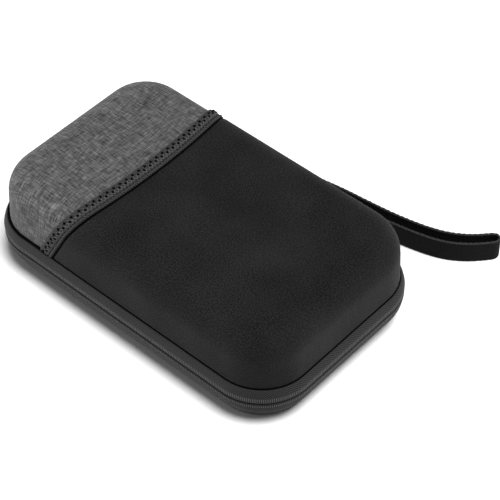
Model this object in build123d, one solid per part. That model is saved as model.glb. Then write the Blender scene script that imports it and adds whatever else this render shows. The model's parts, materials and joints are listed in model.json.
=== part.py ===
from build123d import *
from math import atan2, degrees, radians, tan
import os

# Hard-shell zip case. X runs along its length, Y across it with the hinge at +Y, and Z is up.
# The origin is the centre of the resting face. All sizes are in millimetres.

# Reach of cutting shapes beyond what they cut
OVERSIZE = 10.0

# Rim, where the two halves meet
LENGTH = 180.0
WIDTH = 112.0
CORNER_R = 26.5
SEAM_Z = 16.0

# Halves
WALL_INSET = 3.0
EDGE_GAP = 5.5
DRAFT = 2.5
LID_TOP = 53.2
LID_TOP_R = 15.0
BASE_BOTTOM_R = 7.0
COVER_T = 0.6
FOAM_T = 3.4
LINING_T = 0.5
WALL_T = COVER_T + FOAM_T + LINING_T

# Zip
TAPE_H = 8.0
TAPE_T = 1.0
TAPE_BULGE = 0.45
TAPE_BULGE_OUTER = 0.52
TAPE_BULGE_INNER = 0.42
TAPE_FOOT_H = 1.6
TAPE_FOOT = -WALL_INSET + 0.05
SEAM_HALF_GAP = 0.5
COIL_R = 0.85
COIL_INSET = 2.05
STOP_L = 2.7
STOP_W = 1.4
STOP_H = 2 * COIL_R + 0.4
STOP_R = 0.4
HINGE_HALF = 44.0
END_GAP = 0.3
ZIP_START = HINGE_HALF + END_GAP
COIL_START = ZIP_START + STOP_L + END_GAP

# Binding round the inside of each rim
BINDING_T = 1.5
BINDING_H = 5.2
BINDING_LEDGE = 1.2
BINDING_EDGE_INSET = 3.6

# Sliders and pulls
SLIDER_Y = 6.5
SLIDER_L = 10.0
SLIDER_H = 7.2
SLIDER_GAP = 0.35
PLATE_T = 1.4
PLATE_R = 2.0
INNER_PLATE_INSET = 3.25
INNER_PLATE_T = 1.1
INNER_PLATE_H = 6.6
NECK_L = 2.6
NECK_T = 0.5
NECK_SETBACK = 0.6
BAIL_SLOT = 2.6
BAIL_BAR = 1.0
BAIL_W = 2.4
BAIL_HALF_L = 2.6
BAIL_POST_L = 1.2
BAIL_R = 0.9
PULL_L = 22.0
PULL_W = 7.2
PULL_T = 1.4
PULL_R = 1.2
PULL_EDGE_R = 0.5
PULL_BAR_R = 0.7
PULL_BAR_L = 6.8
PULL_ARM_L = 4.4
PULL_ARM_W = 1.3

# Foam insert and the recess in it
INSERT_INSET = 9.3
INSERT_TOP = SEAM_Z + 6.0
INSERT_TOP_R = 1.5
INSERT_FOOT_CHAMFER = 2.2
RECESS_L = 150.0
RECESS_W = 80.0
RECESS_R = 4.0
RECESS_FLOOR = 3.5
NOTCH_L = 26.0
NOTCH_W = 9.0
NOTCH_R = 4.4
NOTCH_Z = 12.0

# Outer pocket on the lid
PANEL_T = 0.8
PANEL_FOOT_Z = SEAM_Z + TAPE_H + 0.1
MOUTH_T = 1.3
MOUTH_W = 8.0
MOUTH_TOP_X = -34.0
MOUTH_SLOPE = 0.55

# Net pocket inside the lid
NET_X = (-56.0, 64.0)
NET_HALF_W = 34.0
NET_R = 12.0
NET_T = 0.8
NET_DROP = 2.4
TRIM_W = 5.0
TRIM_BELOW_NET = 0.5
ELASTIC_W = 4.0
ELASTIC_T = 2.0
ELASTIC_R = 0.6

# Wrist strap: webbing on its edge, a loop from the anchor to the tip and back
STRAP_W = 12.0
STRAP_T = 1.2
STRAP_LIFT = 0.15
STRAP_RISE = 0.9
ROUTE_ROUNDING = 0.45
ANCHOR_X = (-63.0, -49.0)
ANCHOR_LOW = 2.0
ANCHOR_REACH = 0.75
ANCHOR_PROUD = 1.2
ANCHOR_TUCK = 1.0
ANCHOR_TUCK_H = 3.0
STRAP_ROUTE = [
    (-58.0, 57.9), (-45.0, 58.2), (-32.0, 60.5), (-19.0, 64.1), (-5.0, 67.8), (10.0, 70.6),
    (25.0, 72.6), (40.0, 74.9), (55.0, 77.6), (68.0, 80.4), (79.0, 84.2), (87.6, 90.2),
    (94.0, 97.0), (97.2, 101.2), (96.2, 104.4), (93.0, 104.6), (88.6, 99.4), (83.0, 94.2),
    (75.0, 89.2), (64.5, 85.6), (51.0, 82.7), (36.0, 80.7), (20.0, 79.1), (4.0, 76.2),
    (-10.0, 71.9), (-22.0, 67.2), (-34.0, 62.6), (-46.0, 59.8), (-58.0, 59.1),
]


def slab(inset, z_from, z_to, radius_inset=None):
    """Upright block with the rim's outline, moved inwards by inset."""
    r = CORNER_R - (inset if radius_inset is None else radius_inset)
    outline = RectangleRounded(LENGTH - 2 * inset, WIDTH - 2 * inset, r)
    return Pos(0, 0, z_from) * extrude(outline, z_to - z_from)


def moulding(inset, z_edge, z_far, edge_r):
    """Drafted block from the open edge of a half to its closed face, with that face's edge rounded."""
    outline = RectangleRounded(LENGTH - 2 * inset, WIDTH - 2 * inset, CORNER_R - inset)
    direction = 1 if z_far > z_edge else -1
    solid = extrude(outline, abs(z_far - z_edge), dir=(0, 0, direction), taper=DRAFT)
    solid = Pos(0, 0, z_edge) * solid
    face = solid.faces().sort_by(Axis.Z)[-1 if direction > 0 else 0]
    return fillet(face.edges(), edge_r)


def lid_block(depth):
    """The lid's solid, depth inside its cover's outer face; a negative depth is outside it."""
    return moulding(WALL_INSET + depth, SEAM_Z + EDGE_GAP, LID_TOP - depth, LID_TOP_R - depth)


def base_block(depth):
    """The base's solid, depth inside its cover's outer face."""
    return moulding(WALL_INSET + depth, SEAM_Z - EDGE_GAP, depth, BASE_BOTTOM_R - depth)


def skin(block, outer, inner):
    """The layer of a half between two depths."""
    return block(outer) - block(inner)


def rim_path(inset, z, start):
    """Open path round the rim, from one end of the hinge to the other, clockwise from above."""
    x = LENGTH / 2 - inset
    y = WIDTH / 2 - inset
    corners = [(start, y, z), (x, y, z), (x, -y, z), (-x, -y, z), (-x, y, z), (-start, y, z)]
    return FilletPolyline(*corners, radius=CORNER_R - inset)


def tape_profile(side):
    """Section of one half of the tape: x is outwards from the rim, y is up from the seam."""
    top = (TAPE_FOOT, side * TAPE_H)
    outer_mid = (-TAPE_BULGE, side * TAPE_H * TAPE_BULGE_OUTER)
    outer = ThreePointArc((0, side * SEAM_HALF_GAP), outer_mid, top)
    wall = Line(top, (TAPE_FOOT, side * (TAPE_H - TAPE_FOOT_H)))
    inner_mid = (-TAPE_BULGE - TAPE_T, side * TAPE_H * TAPE_BULGE_INNER)
    inner = ThreePointArc(wall @ 1, inner_mid, (-TAPE_T, side * SEAM_HALF_GAP))
    edge = Line(inner @ 1, outer @ 0)
    return make_face([outer, wall, inner, edge])


def zip_tape(side):
    plane = Plane((ZIP_START, WIDTH / 2, SEAM_Z), x_dir=(0, 1, 0), z_dir=(1, 0, 0))
    return sweep(plane * tape_profile(side), path=rim_path(0, SEAM_Z, ZIP_START))


def zip_coil(side):
    z = SEAM_Z + side * (SEAM_HALF_GAP + COIL_R)
    path = rim_path(COIL_INSET, z, COIL_START)
    plane = Plane((COIL_START, WIDTH / 2 - COIL_INSET, z), z_dir=(1, 0, 0))
    return sweep(plane * Circle(COIL_R), path=path)


def zip_stops(side):
    """Clips round the coil's two ends."""
    stop = fillet(Box(STOP_L, STOP_W, STOP_H).edges().filter_by(Axis.X), STOP_R)
    x = ZIP_START + STOP_L / 2
    y = WIDTH / 2 - COIL_INSET
    z = SEAM_Z + side * (SEAM_HALF_GAP + STOP_H / 2)
    return [Pos(end * x, y, z) * stop for end in (-1, 1)]


def hinge_web():
    """Curved fabric strip that joins the halves along the back."""
    low = (TAPE_FOOT, -TAPE_H)
    high = (TAPE_FOOT, TAPE_H)
    mid = TAPE_H * TAPE_BULGE_OUTER
    outer_low = ThreePointArc(low, (-TAPE_BULGE, -mid), (0, -SEAM_HALF_GAP))
    outer_mid = Line((0, -SEAM_HALF_GAP), (0, SEAM_HALF_GAP))
    outer_high = ThreePointArc((0, SEAM_HALF_GAP), (-TAPE_BULGE, mid), high)
    step = TAPE_H - TAPE_FOOT_H
    drop = Line(high, (TAPE_FOOT, step))
    inner = ThreePointArc((TAPE_FOOT, step), (-TAPE_T, 0), (TAPE_FOOT, -step))
    close = Line((TAPE_FOOT, -step), low)
    face = make_face([outer_low, outer_mid, outer_high, drop, inner, close])
    plane = Plane((-HINGE_HALF, WIDTH / 2, SEAM_Z), x_dir=(0, 1, 0), z_dir=(1, 0, 0))
    return extrude(plane * face, 2 * HINGE_HALF)


def binding(side, block):
    """Tape over the inner edge of a half: a strip on the wall and a ledge under its edge."""
    z_edge = SEAM_Z + side * EDGE_GAP
    z_ledge = z_edge - side * BINDING_LEDGE
    z_strip = z_edge + side * (BINDING_H - BINDING_LEDGE)
    wall = WALL_INSET + WALL_T
    low, high = sorted((z_edge, z_strip))
    strip = (block(WALL_T) & slab(0, low, high)) - slab(wall + BINDING_T, low, high)
    low, high = sorted((z_ledge, z_edge))
    ledge = slab(BINDING_EDGE_INSET, low, high) - slab(wall + BINDING_T, low, high)
    return strip + ledge


def foam_insert():
    tray = slab(INSERT_INSET, WALL_T, INSERT_TOP)
    tray = fillet(tray.faces().sort_by(Axis.Z)[-1].edges(), INSERT_TOP_R)
    lowest = tray.faces().sort_by(Axis.Z)[0]
    tray = chamfer(lowest.edges(), INSERT_FOOT_CHAMFER)
    floor_z = WALL_T + RECESS_FLOOR
    depth = INSERT_TOP - floor_z + OVERSIZE
    recess = Pos(0, 0, floor_z) * extrude(RectangleRounded(RECESS_L, RECESS_W, RECESS_R), depth)
    notch = extrude(RectangleRounded(NOTCH_L, NOTCH_W, NOTCH_R), INSERT_TOP - NOTCH_Z + OVERSIZE)
    notches = [Pos(0, side * RECESS_W / 2, NOTCH_Z) * notch for side in (-1, 1)]
    return tray - recess - notches


def mouth_cut(offset):
    """Space on the +X side of the pocket's slanted mouth, moved by offset along X."""
    high = LID_TOP + OVERSIZE
    low = SEAM_Z
    x_high = MOUTH_TOP_X + offset + (high - LID_TOP) * MOUTH_SLOPE
    x_low = MOUTH_TOP_X + offset - (LID_TOP - low) * MOUTH_SLOPE
    side = Polyline((x_high, high), (LENGTH, high), (LENGTH, low), (x_low, low), close=True)
    return extrude(Plane.XZ * make_face(side), WIDTH, both=True)


def pocket_panel():
    layer = lid_block(-PANEL_T) - lid_block(0)
    clear_of_tape = slab(-OVERSIZE, PANEL_FOOT_Z, LID_TOP + OVERSIZE, radius_inset=0)
    return layer & mouth_cut(MOUTH_W) & clear_of_tape


def pocket_binding():
    layer = lid_block(-MOUTH_T) - lid_block(0)
    clear_of_tape = slab(-OVERSIZE, PANEL_FOOT_Z, LID_TOP + OVERSIZE, radius_inset=0)
    return (layer & mouth_cut(0) & clear_of_tape) - mouth_cut(MOUTH_W)


NET_TOP = LID_TOP - WALL_T - NET_DROP
NET_L = NET_X[1] - NET_X[0]
NET_MID = (NET_X[0] + NET_X[1]) / 2


def net_outline(grow):
    """Plan of the net, square at its open end."""
    outline = RectangleRounded(NET_L + NET_R + 2 * grow, 2 * (NET_HALF_W + grow), NET_R + grow)
    outline = Pos(NET_MID - NET_R / 2, 0) * outline
    keep = Pos(NET_MID + OVERSIZE / 2, 0) * Rectangle(NET_L + OVERSIZE, WIDTH)
    return outline & keep


def mesh_pocket():
    return Pos(0, 0, NET_TOP - NET_T) * extrude(net_outline(0), NET_T)


def mesh_pocket_trim():
    """Folded tape along the net's three sewn sides, from the lining down to the net."""
    ring = net_outline(TRIM_W / 2) - net_outline(0)
    low = NET_TOP - NET_T - TRIM_BELOW_NET
    return Pos(0, 0, low) * extrude(ring, LID_TOP - WALL_T - low)


def mesh_pocket_elastic():
    bar = Box(ELASTIC_W, 2 * NET_HALF_W, ELASTIC_T)
    bar = fillet(bar.edges().filter_by(Axis.Y), ELASTIC_R)
    return Pos(NET_X[0] - ELASTIC_W / 2, 0, NET_TOP - NET_T / 2) * bar


def on_end(side):
    """Frame of a slider on the -X end: x is outwards, y is away from the other slider."""
    origin = (-LENGTH / 2, side * SLIDER_Y, SEAM_Z)
    return Location(Plane(origin, x_dir=(-1, 0, 0), z_dir=(0, 0, -side)))


def plate(length, height, thickness, corner):
    """Flat plate: x is its thickness, y its length."""
    solid = Box(thickness, length, height)
    return fillet(solid.edges().filter_by(Axis.X), corner)


def zip_slider(side):
    x_plate = SLIDER_GAP + PLATE_T / 2
    outer = Pos(x_plate, 0, 0) * plate(SLIDER_L, SLIDER_H, PLATE_T, PLATE_R)
    x_inner = -INNER_PLATE_INSET - INNER_PLATE_T / 2
    inner = Pos(x_inner, 0, 0) * plate(SLIDER_L, INNER_PLATE_H, INNER_PLATE_T, PLATE_R)
    neck_y = -SLIDER_L / 2 + NECK_L / 2 + NECK_SETBACK
    neck = Pos((x_plate + x_inner) / 2, neck_y, 0) * Box(x_plate - x_inner, NECK_L, NECK_T)
    bail_x = SLIDER_GAP + PLATE_T
    arch_t = BAIL_SLOT + BAIL_BAR
    arch = Box(arch_t, 2 * (BAIL_HALF_L + BAIL_POST_L), BAIL_W)
    arch = fillet(arch.edges().filter_by(Axis.Z).group_by(Axis.X)[-1], BAIL_R)
    slot = Pos(-BAIL_BAR / 2, 0, 0) * Box(BAIL_SLOT, 2 * BAIL_HALF_L, BAIL_W + OVERSIZE)
    bail = Pos(bail_x + arch_t / 2, 0, 0) * (arch - slot)
    return on_end(side) * (outer + neck + inner + bail)


def zip_pull(side):
    """Tab with a fork whose bar passes under the bail."""
    arm_z = (PULL_W - PULL_ARM_W) / 2
    bar = Cylinder(PULL_BAR_R, PULL_BAR_L)
    arm = Pos(0, PULL_ARM_L / 2, 0) * Box(PULL_T, PULL_ARM_L + PULL_T, PULL_ARM_W)
    arms = [Pos(0, 0, end * arm_z) * arm for end in (-1, 1)]
    tab_l = PULL_L - PULL_ARM_L
    tab = plate(tab_l, PULL_W, PULL_T, PULL_R)
    far_edges = tab.edges().filter_by(Axis.Z).group_by(Axis.Y)[-1]
    tab = Pos(0, PULL_ARM_L + tab_l / 2, 0) * fillet(far_edges, PULL_EDGE_R)
    x_pivot = SLIDER_GAP + PLATE_T + BAIL_SLOT / 2
    return on_end(side) * Pos(x_pivot, 0, 0) * (bar + arms + tab)


def strap_anchor():
    """Folded tab that hugs the lower tape and carries the strap's ends."""
    foot = (TAPE_FOOT, -TAPE_H)
    tape = ThreePointArc(foot, (-TAPE_BULGE, -TAPE_H * TAPE_BULGE_OUTER), (0, -SEAM_HALF_GAP))
    hug = tape.trim(0, ANCHOR_REACH)
    top = hug @ 1
    low = ANCHOR_LOW - SEAM_Z
    rest = Polyline((top.X, top.Y), (ANCHOR_PROUD, top.Y), (ANCHOR_PROUD, low),
                    (TAPE_FOOT + ANCHOR_TUCK, low), (TAPE_FOOT, low + ANCHOR_TUCK_H), foot)
    plane = Plane((ANCHOR_X[0], WIDTH / 2, SEAM_Z), x_dir=(0, 1, 0), z_dir=(1, 0, 0))
    return extrude(plane * make_face([hug, *rest.edges()]), ANCHOR_X[1] - ANCHOR_X[0])


def route_radii(points):
    """Arc radius at each inner point: a share of the shorter run over the tangent of half the turn."""
    radii = []
    for a, b, c in zip(points, points[1:], points[2:]):
        run_in = Vector(*b) - Vector(*a)
        run_out = Vector(*c) - Vector(*b)
        turn = radians(run_in.get_angle(run_out))
        radii.append(ROUTE_ROUNDING * min(run_in.length, run_out.length) / tan(turn / 2))
    return radii


def wrist_strap():
    """Webbing loop on its edge, laid on the table at its tip and a little raised at the anchor."""
    radii = route_radii(STRAP_ROUTE)
    centre = FilletPolyline(*STRAP_ROUTE, radius=radii)
    band = trace(centre, STRAP_T)
    loop = extrude(band, STRAP_W)
    far_x = max(x for x, y in STRAP_ROUTE)
    slope = degrees(atan2(STRAP_RISE, far_x - STRAP_ROUTE[0][0]))
    loop = Pos(far_x, 0, STRAP_LIFT) * Rot(0, slope, 0) * Pos(-far_x, 0, 0) * loop
    print("strap length", round(centre.length, 1))
    return loop


def build():
    nodes = {
        "base_cover": skin(base_block, 0, COVER_T),
        "base_shell": skin(base_block, COVER_T, COVER_T + FOAM_T),
        "base_lining": skin(base_block, COVER_T + FOAM_T, WALL_T),
        "base_binding": binding(-1, base_block),
        "foam_insert": foam_insert(),
        "zip_tape_lower": zip_tape(-1),
        "zip_coil_lower": zip_coil(-1),
        "zip_stops_lower": zip_stops(-1),
        "hinge_web": hinge_web(),
        "strap_anchor": strap_anchor(),
        "wrist_strap": wrist_strap(),
        "lid_cover": skin(lid_block, 0, COVER_T),
        "lid_shell": skin(lid_block, COVER_T, COVER_T + FOAM_T),
        "lid_lining": skin(lid_block, COVER_T + FOAM_T, WALL_T),
        "lid_binding": binding(1, lid_block),
        "zip_tape_upper": zip_tape(1),
        "zip_coil_upper": zip_coil(1),
        "zip_stops_upper": zip_stops(1),
        "pocket_panel": pocket_panel(),
        "pocket_binding": pocket_binding(),
        "mesh_pocket": mesh_pocket(),
        "mesh_pocket_trim": mesh_pocket_trim(),
        "mesh_pocket_elastic": mesh_pocket_elastic(),
    }
    for name, side in (("a", -1), ("b", 1)):
        nodes["zip_slider_" + name] = zip_slider(side)
        nodes["zip_pull_" + name] = zip_pull(side)
    return nodes


os.makedirs("parts", exist_ok=True)
for node, shape in build().items():
    solids = shape if isinstance(shape, list) else shape.solids()
    export_step(Compound(children=list(solids)), "parts/" + node + ".step")
    print(node, len(solids), round(sum(s.volume for s in solids), 1))
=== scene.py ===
import bpy
import bmesh
import json
import math
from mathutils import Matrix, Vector, noise

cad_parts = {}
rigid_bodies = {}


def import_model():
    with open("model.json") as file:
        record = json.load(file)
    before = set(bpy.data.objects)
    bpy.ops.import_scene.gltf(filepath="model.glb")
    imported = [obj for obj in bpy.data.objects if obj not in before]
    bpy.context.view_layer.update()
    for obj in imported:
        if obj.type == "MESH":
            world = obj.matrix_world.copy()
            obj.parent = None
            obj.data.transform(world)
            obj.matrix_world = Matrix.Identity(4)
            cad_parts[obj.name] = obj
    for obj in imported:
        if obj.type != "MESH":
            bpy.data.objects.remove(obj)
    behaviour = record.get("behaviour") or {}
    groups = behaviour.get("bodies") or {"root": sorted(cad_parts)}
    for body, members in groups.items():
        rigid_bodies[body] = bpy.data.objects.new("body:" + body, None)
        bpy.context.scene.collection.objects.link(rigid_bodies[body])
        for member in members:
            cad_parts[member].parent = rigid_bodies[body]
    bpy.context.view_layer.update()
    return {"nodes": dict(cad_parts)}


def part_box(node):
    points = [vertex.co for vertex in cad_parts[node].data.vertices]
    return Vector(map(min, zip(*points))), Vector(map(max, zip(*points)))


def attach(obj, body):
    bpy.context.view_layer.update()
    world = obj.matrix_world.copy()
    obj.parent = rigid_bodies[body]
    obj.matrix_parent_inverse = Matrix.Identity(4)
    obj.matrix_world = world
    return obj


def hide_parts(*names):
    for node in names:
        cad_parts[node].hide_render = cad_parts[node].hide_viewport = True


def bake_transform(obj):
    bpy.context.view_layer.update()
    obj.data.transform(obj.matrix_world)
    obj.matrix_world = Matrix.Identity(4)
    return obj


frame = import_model()
MM = 0.001

# Places read from the frame, in millimetres
upper_low, upper_high = (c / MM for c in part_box("zip_tape_upper"))
lower_low, lower_high = (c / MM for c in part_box("zip_tape_lower"))
cover_low, cover_high = (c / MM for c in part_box("lid_cover"))
base_low, base_high = (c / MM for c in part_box("base_cover"))
HALF_L = round(upper_high.x)
HALF_W = round(upper_high.y)
SEAM_Z = (upper_low.z + lower_high.z) / 2
LID_EDGE_Z = cover_low.z
LID_TOP = cover_high.z
BASE_EDGE_Z = base_high.z
WALL_INSET = HALF_L - cover_high.x
HINGE_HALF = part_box("hinge_web")[1].x / MM

# The case's own roundings, in millimetres
CORNER_R = 26.5
LID_TOP_R = 15.0
BASE_BOTTOM_R = 7.0
DRAFT = math.radians(2.5)
COVER_T = 0.6
WALL_T = 4.5
CROWN = 0.5

# How finely the outlines are stepped, and the tightest corner they may have, in millimetres
CORNER_STEPS = 12
LONG_STEPS = 60
SHORT_STEPS = 32
MIN_CORNER_R = 2.0


# ---------------------------------------------------------------- mesh helpers

def link(name, verts, faces, uvs):
    """A mesh object from points in millimetres; uvs are one per point, in millimetres."""
    mesh = bpy.data.meshes.new(name)
    mesh.from_pydata([(x * MM, y * MM, z * MM) for x, y, z in verts], [], faces)
    layer = mesh.uv_layers.new(name="cloth")
    for loop in mesh.loops:
        u, v = uvs[loop.vertex_index]
        layer.data[loop.index].uv = (u * MM, v * MM)
    mesh.polygons.foreach_set("use_smooth", [True] * len(mesh.polygons))
    mesh.validate()
    obj = bpy.data.objects.new(name, mesh)
    bpy.context.scene.collection.objects.link(obj)
    return obj


def grid_faces(rows, cols, close_rows=False, close_cols=False):
    """Quads of a grid of points stored row by row."""
    faces = []
    for r in range(rows if close_rows else rows - 1):
        for c in range(cols if close_cols else cols - 1):
            r2 = (r + 1) % rows
            c2 = (c + 1) % cols
            faces.append((r * cols + c, r * cols + c2, r2 * cols + c2, r2 * cols + c))
    return faces


def capped_grid(rows, cols):
    """Faces of a closed bar: a grid that closes round its section, and a face over each end."""
    ends = [list(range(cols))[::-1], [(rows - 1) * cols + c for c in range(cols)]]
    return grid_faces(rows, cols, close_cols=True) + ends


def outward(obj):
    """Turns every face of a closed mesh outwards."""
    bm = bmesh.new()
    bm.from_mesh(obj.data)
    bmesh.ops.recalc_face_normals(bm, faces=bm.faces)
    bm.to_mesh(obj.data)
    bm.free()
    return obj


def outline(inset, corner_steps=CORNER_STEPS, long_steps=LONG_STEPS, short_steps=SHORT_STEPS):
    """Rounded rectangle of the rim moved inwards: (x, y, nx, ny) points, anticlockwise."""
    r = max(CORNER_R - inset, MIN_CORNER_R)
    cx = HALF_L - inset - r
    cy = HALF_W - inset - r
    points = []
    corners = [(cx, cy, 0), (-cx, cy, 90), (-cx, -cy, 180), (cx, -cy, 270)]
    for k, (ox, oy, a0) in enumerate(corners):
        for i in range(corner_steps):
            a = math.radians(a0 + 90 * i / corner_steps)
            points.append((ox + r * math.cos(a), oy + r * math.sin(a), math.cos(a), math.sin(a)))
        a = math.radians(a0 + 90)
        nx, ny = math.cos(a), math.sin(a)
        ex, ey, _ = corners[(k + 1) % 4]
        x0, y0 = ox + r * nx, oy + r * ny
        x1, y1 = ex + r * nx, ey + r * ny
        steps = long_steps if k % 2 == 0 else short_steps
        for i in range(steps):
            t = i / steps
            points.append((x0 + (x1 - x0) * t, y0 + (y1 - y0) * t, nx, ny))
    return points


def shell_profile(edge_z, far_z, edge_r, depth, crown=0.0, wall_steps=14, arc_steps=14):
    """Section of a half from its open edge to the middle: (inset, z, cloth) triples.
    cloth is the length of fabric from the flat face's edge, positive down the wall."""
    way = 1 if far_z > edge_z else -1
    r = edge_r - depth
    top = far_z - way * depth
    centre_z = top - way * r
    inset_edge = WALL_INSET + depth
    inset_at_centre = inset_edge + abs(centre_z - edge_z) * math.tan(DRAFT)
    centre_inset = inset_at_centre + r / math.cos(DRAFT)
    arc = []
    for i in range(arc_steps + 1):
        a = DRAFT + (math.pi / 2 - DRAFT) * i / arc_steps
        cloth = r * (math.pi / 2 - a)
        arc.append((centre_inset - r * math.cos(a), centre_z + way * r * math.sin(a), cloth))
    wall = []
    tangent_inset, tangent_z, arc_cloth = arc[0]
    run = math.hypot(tangent_inset - inset_edge, tangent_z - edge_z)
    for i in range(wall_steps):
        t = i / wall_steps
        wall.append((inset_edge + (tangent_inset - inset_edge) * t,
                     edge_z + (tangent_z - edge_z) * t, arc_cloth + run * (1 - t)))
    flat = []
    reach = HALF_W - centre_inset
    for inset_step in range(1, 10):
        t = inset_step / 9.5
        flat.append((centre_inset + reach * t, top + way * crown * (1 - (1 - t) ** 2), -reach * t))
    return wall + arc + flat


def shell_rings(profile):
    """Rings of points and cloth coordinates for a section swept round the rim."""
    flat_inset = min(i for i, z, cloth in profile if cloth <= 1e-6)
    base = outline(flat_inset)
    verts, uvs = [], []
    for inset, z, cloth in profile:
        for (x, y, nx, ny), (bx, by, _, _) in zip(outline(inset), base):
            verts.append((x, y, z))
            uvs.append((bx + nx * cloth, by + ny * cloth) if cloth > 0 else (x, y))
    return verts, uvs, len(base)


def close_middle(start, cols):
    """Quads across the last ring, from one side of the case's long axis to the other."""
    ring = [start + (cols - SHORT_STEPS // 2 + k) % cols for k in range(cols)]
    faces = []
    for k in range(cols // 2):
        face = [ring[k], ring[k + 1], ring[(cols - k - 1) % cols], ring[(cols - k) % cols]]
        faces.append(list(dict.fromkeys(face)))
    return faces


def moulded_skin(name, edge_z, far_z, edge_r, outer, inner, crown=0.0):
    """Closed layer of a half between two depths under its outer face."""
    out_profile = shell_profile(edge_z, far_z, edge_r, outer, crown)
    in_profile = shell_profile(edge_z, far_z, edge_r, inner, crown)
    out_verts, out_uvs, cols = shell_rings(out_profile)
    in_verts, in_uvs, _ = shell_rings(in_profile)
    rows = len(out_profile)
    start = len(out_verts)
    faces = grid_faces(rows, cols, close_cols=True) + close_middle((rows - 1) * cols, cols)
    inner_faces = [[start + i for i in f] for f in faces]
    rim = [(c, (c + 1) % cols, start + (c + 1) % cols, start + c) for c in range(cols)]
    return outward(link(name, out_verts + in_verts, faces + inner_faces + rim, out_uvs + in_uvs))


# The runs round the rim stop this far past the hinge web, and outline points nearer than this are left out
HINGE_GAP = 0.3
HINGE_CLEAR = 1.5


def rim_run(inset, spacing=1.2):
    """Open path round the rim at an inset, from one end of the hinge to the other: points
    (x, y, nx, ny, length along), clockwise from above."""
    ring = outline(inset, 2 * CORNER_STEPS, 10, 8)
    start = (HINGE_HALF + HINGE_GAP, HALF_W - inset, 0.0, 1.0)
    end = (-HINGE_HALF - HINGE_GAP, HALF_W - inset, 0.0, 1.0)
    off_web = [p for p in ring if not (abs(p[0]) < HINGE_HALF + HINGE_CLEAR and p[1] > 0)]
    off_web.sort(key=lambda p: math.atan2(p[0], p[1]) % (2 * math.pi))
    keys = [start, *off_web, end]
    points = []
    total = 0.0
    for a, b in zip(keys, keys[1:]):
        gap = math.dist(a[:2], b[:2])
        steps = max(1, round(gap / spacing))
        for i in range(steps):
            t = i / steps
            n = Vector((a[2] + (b[2] - a[2]) * t, a[3] + (b[3] - a[3]) * t)).normalized()
            x, y = (p + (q - p) * t for p, q in zip(a[:2], b[:2]))
            points.append((x, y, n.x, n.y, total + gap * t))
        total += gap
    points.append((*end, total))
    return points


def even_run(inset, spacing):
    """The same run in even steps."""
    run = rim_run(inset, spacing / 2)
    count = round(run[-1][4] / spacing)
    result = []
    k = 0
    for i in range(count + 1):
        target = run[-1][4] * i / count
        while k < len(run) - 2 and run[k + 1][4] < target:
            k += 1
        t = (target - run[k][4]) / (run[k + 1][4] - run[k][4])
        result.append(tuple(a + (b - a) * t for a, b in zip(run[k], run[k + 1])))
    return result


def sweep_run(name, run, section):
    """Sweeps a closed section of (out, up) points along a run of rim points."""
    verts, uvs = [], []
    lengths = [0.0]
    for a, b in zip(section, section[1:]):
        lengths.append(lengths[-1] + math.dist(a, b))
    for x, y, nx, ny, along in run:
        for (out, z), across in zip(section, lengths):
            verts.append((x + nx * out, y + ny * out, z))
            uvs.append((along, across))
    return outward(link(name, verts, capped_grid(len(run), len(section)), uvs))


def tube(points, radius, sides=6):
    """Points and faces of a round closed tube through points in millimetres."""
    verts = []
    previous = None
    for i, p in enumerate(points):
        a = Vector(points[max(i - 1, 0)])
        b = Vector(points[min(i + 1, len(points) - 1)])
        along = (b - a).normalized()
        if previous is None:
            previous = along.orthogonal()
        side = (previous - along * previous.dot(along)).normalized()
        previous = side
        up = along.cross(side)
        for k in range(sides):
            angle = 2 * math.pi * k / sides
            offset = side * math.cos(angle) + up * math.sin(angle)
            verts.append(tuple(Vector(p) + offset * radius))
    return verts, capped_grid(len(points), sides)


def join_tubes(name, tubes):
    """One object from many tubes."""
    verts, faces = [], []
    for tube_verts, tube_faces in tubes:
        faces += [[len(verts) + i for i in f] for f in tube_faces]
        verts += tube_verts
    return link(name, verts, faces, [(x + z, y + z) for x, y, z in verts])


# ---------------------------------------------------------------- camera, floor and light

# The camera, worked out from the photograph: aim and distance in metres, lens and sensor in millimetres
AIM = Vector((5.9, 27.3, 0.0)) * MM
AZIMUTH = math.radians(41.7)
ELEVATION = math.radians(46.95)
DISTANCE = 0.9305
LENS = 139.9
SENSOR = 36.0

# Light, in metres: the point that every light aims at, low in the case, the width of the fills' discs,
# and how far the floor reaches; then how much the floor and the surroundings glow
LIGHT_AIM = Vector((0, 0, 0.02))
FILL_SIZE = 0.7
FLOOR_REACH = 60.0
FLOOR_GLOW = 0.04
WORLD_GLOW = 0.13


def camera():
    data = bpy.data.cameras.new("camera")
    data.lens = LENS
    data.sensor_width = SENSOR
    cam = bpy.data.objects.new("camera", data)
    bpy.context.scene.collection.objects.link(cam)
    away = Vector((math.sin(AZIMUTH) * math.cos(ELEVATION),
                   -math.cos(AZIMUTH) * math.cos(ELEVATION), math.sin(ELEVATION)))
    cam.location = AIM + away * DISTANCE
    cam.rotation_euler = (AIM - cam.location).to_track_quat("-Z", "Y").to_euler()
    bpy.context.scene.camera = cam


def light(name, kind, place, power):
    data = bpy.data.lights.new(name, kind)
    data.energy = power
    obj = bpy.data.objects.new(name, data)
    obj.location = place
    obj.rotation_euler = (LIGHT_AIM - Vector(place)).to_track_quat("-Z", "Y").to_euler()
    bpy.context.scene.collection.objects.link(obj)
    return obj


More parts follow.
